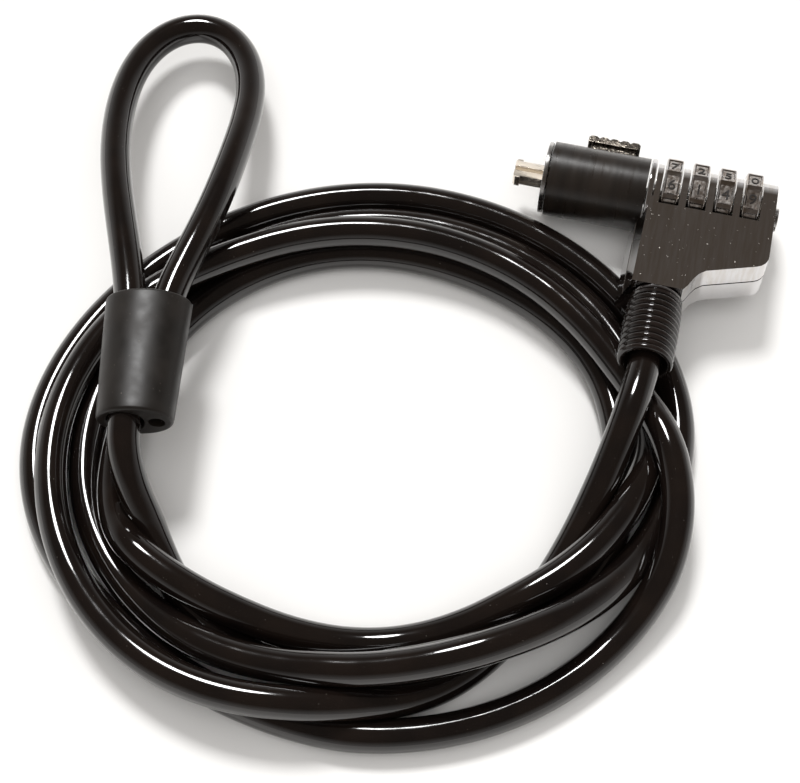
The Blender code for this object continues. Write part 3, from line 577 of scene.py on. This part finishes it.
dialSettings = {
    "firstX": 4.6 * mm, "pitch": 5.4 * mm, "width": 3.4 * mm, "cornerR": 8.6 * mm, "faces": 10,
    "bore": 4.25 * mm, "perFace": 24, "panelDepth": 0.2 * mm, "panelHalf": 2.05 * mm,
    "panelHalfWidth": 1.2 * mm, "edge": 0.14 * mm, "roundTo": 8.48 * mm, "wall": 1.2 * mm,
    "band": (1.0, 0.93, 0.86), "bandDrop": (0.4, 0.1, 0),  # rims: share of half width, drop in mm
    "panelRows": 15, "panelFrom": 0.9, "digitRise": 0.5,  # the last two are shares of a depth
    "digit": 3.1 * mm, "digitDepth": 0.07 * mm, "digitStretch": 1.15, "digitSteps": 3,
    "shown": (7, 2, 5, 0),
}
chromeLook = {"tone": "#d6d5d6", "otherTone": "#cbc9c8", "driftSize": 7 * mm, "roughness": (0.04, 0.09),
              "roughSize": 4 * mm, "grainSize": 0.35 * mm, "grainDepth": 0.004 * mm, "grain": 0.3,
              "waveSize": 4 * mm, "waveDepth": 0.012 * mm, "dustSize": 0.45 * mm, "dustFrom": 0.755,
              "dust": "#c9c4bc", "metallic": 1.0}
dialLook = {**chromeLook, "otherTone": "#a89c90", "driftSize": 2.5 * mm, "roughness": (0.06, 0.16),
            "waveSize": 1.2 * mm, "waveDepth": 0.03 * mm}
enamelLook = {"tone": "#14110f", "otherTone": "#1f1a17", "driftSize": 1 * mm, "roughness": (0.25, 0.4),
              "grainSize": 0.1 * mm, "grainDepth": 0.01 * mm}
panelLook = {**dialLook, "tone": "#e8e4e0", "otherTone": "#a2968d", "driftSize": 0.8 * mm,
             "roughness": (0.13, 0.28), "grainDepth": 0.02 * mm, "grain": 0.6, "waveDepth": 0.06 * mm}
# chromed zinc, finely etched round each digit: greyer and duller than the rims
dialPanel = makeMaterial("etched_dial_panel", panelLook)
# chromed zinc dial: bright rims that mirror the light
dialMetal = makeMaterial("chrome_dial", dialLook)
enamel = makeMaterial("digit_enamel", enamelLook)  # black enamel, half matt, in the digits


def digitShape(number):
    # one digit from the built-in font, as (points, triangles) lying in its own XY plane
    curve = bpy.data.curves.new(f"digit_{number}", "FONT")
    curve.body = str(number)
    curve.size = dialSettings["digit"]
    curve.extrude = dialSettings["digitDepth"]
    curve.align_x, curve.align_y = "CENTER", "CENTER"
    curve.resolution_u = dialSettings["digitSteps"]
    holder = bpy.data.objects.new(f"digit_{number}", curve)
    scene.collection.objects.link(holder)
    mesh = holder.to_mesh()
    mesh.calc_loop_triangles()
    points = np.empty(len(mesh.vertices) * 3, np.float32)
    triangles = np.empty(len(mesh.loop_triangles) * 3, np.int32)
    mesh.vertices.foreach_get("co", points)
    mesh.loop_triangles.foreach_get("vertices", triangles)
    points, triangles = points.reshape(-1, 3).astype(float), triangles.reshape(-1, 3)
    bpy.data.objects.remove(holder)
    points[:, :2] -= (points[:, :2].max(axis=0) + points[:, :2].min(axis=0)) / 2
    points[:, 0] *= dialSettings["digitStretch"]
    return points, np.concatenate([triangles, triangles[:, 2:]], axis=1)


def dialSurface(x):
    # r(a) = apothem / cos(a') on each flat, at most roundTo at the corners, less the sunk panel
    half, corner, faces = dialSettings["width"] / 2, dialSettings["cornerR"], dialSettings["faces"]
    sector = 2 * math.pi / faces
    apothem = corner * math.cos(sector / 2)
    angle = np.arange(faces * dialSettings["perFace"]) * sector / dialSettings["perFace"]
    offset = angle % sector - sector / 2
    flat = np.minimum(apothem / np.cos(offset), dialSettings["roundTo"])
    across = np.abs(np.tan(offset) * apothem)
    edge, panelHalf, panelWide = (dialSettings[key]
                                  for key in ("edge", "panelHalf", "panelHalfWidth"))
    band = np.array(dialSettings["band"]) * half
    inner = np.linspace(panelWide + edge, -panelWide - edge, dialSettings["panelRows"])
    stations = np.concatenate([band, inner, -band[::-1]])
    inPanel = (np.clip((panelHalf + edge - across) / edge, 0, 1)[None]
               * np.clip((panelWide + edge - np.abs(stations)) / edge, 0, 1)[:, None])
    sunk = dialSettings["panelDepth"] * inPanel * inPanel * (3 - 2 * inPanel)
    drop = np.interp(np.abs(stations) / half, dialSettings["band"][::-1],
                     np.array(dialSettings["bandDrop"][::-1]) * mm)[:, None]
    radius = flat[None] - sunk - drop
    bore = np.full((1, len(angle)), dialSettings["bore"])
    wall = flat[None] - dialSettings["wall"]
    radius = np.concatenate([bore, wall, radius, wall, bore])
    stations = np.concatenate([[half, half], stations, [-half, -half]])
    rings = np.stack([np.broadcast_to(x + stations[:, None], radius.shape),
                      radius * np.sin(angle), radius * np.cos(angle)], axis=-1)
    points, quads = loft(headPoints(rings), looped=True)
    sunkAt = np.zeros(radius.shape)
    sunkAt[2:-2] = sunk
    deep = dialSettings["panelFrom"] * dialSettings["panelDepth"]
    panel = (sunkAt.reshape(-1)[quads] > deep).all(axis=1)
    return points, quads, panel, apothem, sector


def makeDials():
    digits = [digitShape(number) for number in range(dialSettings["faces"])]
    for i, shown in enumerate(dialSettings["shown"]):
        x = dialSettings["firstX"] + i * dialSettings["pitch"]
        points, quads, panel, apothem, sector = dialSurface(x)
        parts = [(points, quads, np.where(panel, 2, 0))]
        level = (apothem - dialSettings["panelDepth"]
                 + dialSettings["digitRise"] * dialSettings["digitDepth"])
        for face in range(dialSettings["faces"]):
            shape, triangles = digits[(face + shown) % dialSettings["faces"]]
            turn = sector * (face + 0.5)
            out = np.array([0, math.sin(turn), math.cos(turn)])
            up = np.array([0, math.cos(turn), -math.sin(turn)])
            local = (np.array([x, 0, 0]) + shape[:, :1] * np.array([1.0, 0, 0]) + shape[:, 1:2] * up
                     + (level + shape[:, 2:]) * out)
            parts.append((headPoints(local), triangles, 1))
        dial = makePiece(f"dial_ring_{i + 1}", parts, [dialMetal, enamel, dialPanel],
                         f"dial_{i + 1}", sharpAngle=25)
        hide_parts(f"number_dial_{i + 1}")


makeDials()
print("dials made")

# die-cast zinc under bright chrome: a mirror with dust on it
chrome = makeMaterial("chrome_plated_zinc", chromeLook)
steelLook = {"tone": "#f6efe4", "otherTone": "#ddd0be", "driftSize": 3 * mm, "roughness": (0.17, 0.34),
             "roughSize": 1.5 * mm, "grainSize": 0.3 * mm, "grainDepth": 0.012 * mm, "grain": 0.5,
             "stretch": (6, 1, 1), "metallic": 1.0, "dustFrom": 0.8}
# ground and nickel plated: pale and slightly yellow, with grinding marks along the jaws
warmSteel = makeMaterial("nickel_plated_steel", steelLook)
plateLook = {**steelLook, "tone": "#c4c3c2", "otherTone": "#a9a8a6", "stretch": (1, 1, 1)}
paleSteel = makeMaterial("stamped_steel", plateLook)  # stamped and tumbled: a soft even grey
noseLook = {"tone": "#16120f", "otherTone": "#241e19", "driftSize": 4 * mm, "roughness": (0.26, 0.4),
            "roughSize": 0.8 * mm, "grainSize": 0.16 * mm, "grainDepth": 0.01 * mm, "grain": 0.5,
            "stretch": (1, 14, 14), "waveSize": 1.4 * mm, "waveDepth": 0.02 * mm,
            "waveStretch": (1, 10, 10), "coat": 0.3, "coatRoughness": 0.2, "dustFrom": 0.8}
# a turned tube under satin lacquer: black, with faint turning rings
noseBlack = makeMaterial("black_lacquered_sleeve", noseLook)
# the fine pale and dark speckle of these two tones is painted sparkle and painted shade of the grit,
# beside the real sparks its bumps make
buttonLook = {**chromeLook, "tone": "#a39b90", "otherTone": "#2a2623", "driftSize": 0.4 * mm,
              "roughness": (0.16, 0.4), "grainSize": 0.3 * mm, "grainDepth": 0.08 * mm, "grain": 0.8,
              "waveSize": 0.9 * mm, "waveDepth": 0.1 * mm}
# cast with a gritty grip and chromed: it breaks the light into sparks
buttonMetal = makeMaterial("cast_chrome_button", buttonLook)
brassLook = {"tone": "#b08d4a", "otherTone": "#8f6f37", "driftSize": 2 * mm, "roughness": (0.2, 0.35),
             "grainSize": 0.2 * mm, "grainDepth": 0.01 * mm, "stretch": (1, 8, 8), "metallic": 1.0}
brass = makeMaterial("machined_brass", brassLook)  # turned brass: yellow, with turning rings

coverLook = {**chromeLook, "otherTone": "#cbc7c3", "stretch": (1, 12, 6), "driftSize": 0.6 * mm,
             "roughness": (0.04, 0.1), "grainSize": 0.2 * mm, "grainDepth": 0.002 * mm,
             "dustFrom": 0.745}
# chrome buffed along the neck: hairlines, dust and wipe marks, drawn coarser than real ones to show
cover = makeMaterial("polished_chrome_cover", coverLook)

# the CAD pieces that stay: (material, width of the softened edge in mm)
carriedOver = {
    "upper_shell": (cover, 0.3), "lower_shell": (chrome, 0.25), "front_collar": (chrome, 0.25),
    "push_button": (buttonMetal, 0.15), "nose_sleeve": (noseBlack, 0.2),
    "front_plate": (paleSteel, 0.15), "reset_disc": (paleSteel, 0.15),
    "rear_jaw": (warmSteel, 0.1), "front_jaw": (warmSteel, 0.1),
    "nose_core": (paleSteel, 0.1), "drive_slider": (paleSteel, 0.1), "code_spindle": (paleSteel, 0.0),
    "jaw_pin": (paleSteel, 0.0), "detent_spring": (paleSteel, 0.0), "spindle_spring": (paleSteel, 0.0),
    "button_spring": (paleSteel, 0.0), "cable_anchor": (paleSteel, 0.0), "loop_crimp": (paleSteel, 0.0),
    "body_screw_1": (paleSteel, 0.08), "body_screw_2": (paleSteel, 0.08),
    **{f"code_sleeve_{i + 1}": (brass, 0.1) for i in range(4)},
}


dressSettings = {"weld": 0.002 * mm, "flatAngle": 1.5, "edgeAngle": 35, "segments": 2, "weight": 80}


def dressNodes():
    for name, (material, edge) in carriedOver.items():
        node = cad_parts[name]
        if not node.material_slots:
            node.data.materials.append(material)
        for slot in node.material_slots:
            slot.link = "OBJECT"
            slot.material = material
        if edge == 0:
            continue
        weld = node.modifiers.new("weld", "WELD")
        weld.merge_threshold = dressSettings["weld"]
        flat = node.modifiers.new("flat", "DECIMATE")
        flat.decimate_type = "DISSOLVE"
        flat.angle_limit = math.radians(dressSettings["flatAngle"])
        bevel = node.modifiers.new("edges", "BEVEL")
        bevel.width = edge * mm
        bevel.segments = dressSettings["segments"]
        bevel.limit_method = "ANGLE"
        bevel.angle_limit = math.radians(dressSettings["edgeAngle"])
        bevel.harden_normals = False
        smooth = node.modifiers.new("normals", "WEIGHTED_NORMAL")
        smooth.keep_sharp = False
        smooth.weight = dressSettings["weight"]


dressNodes()
print("CAD pieces dressed")
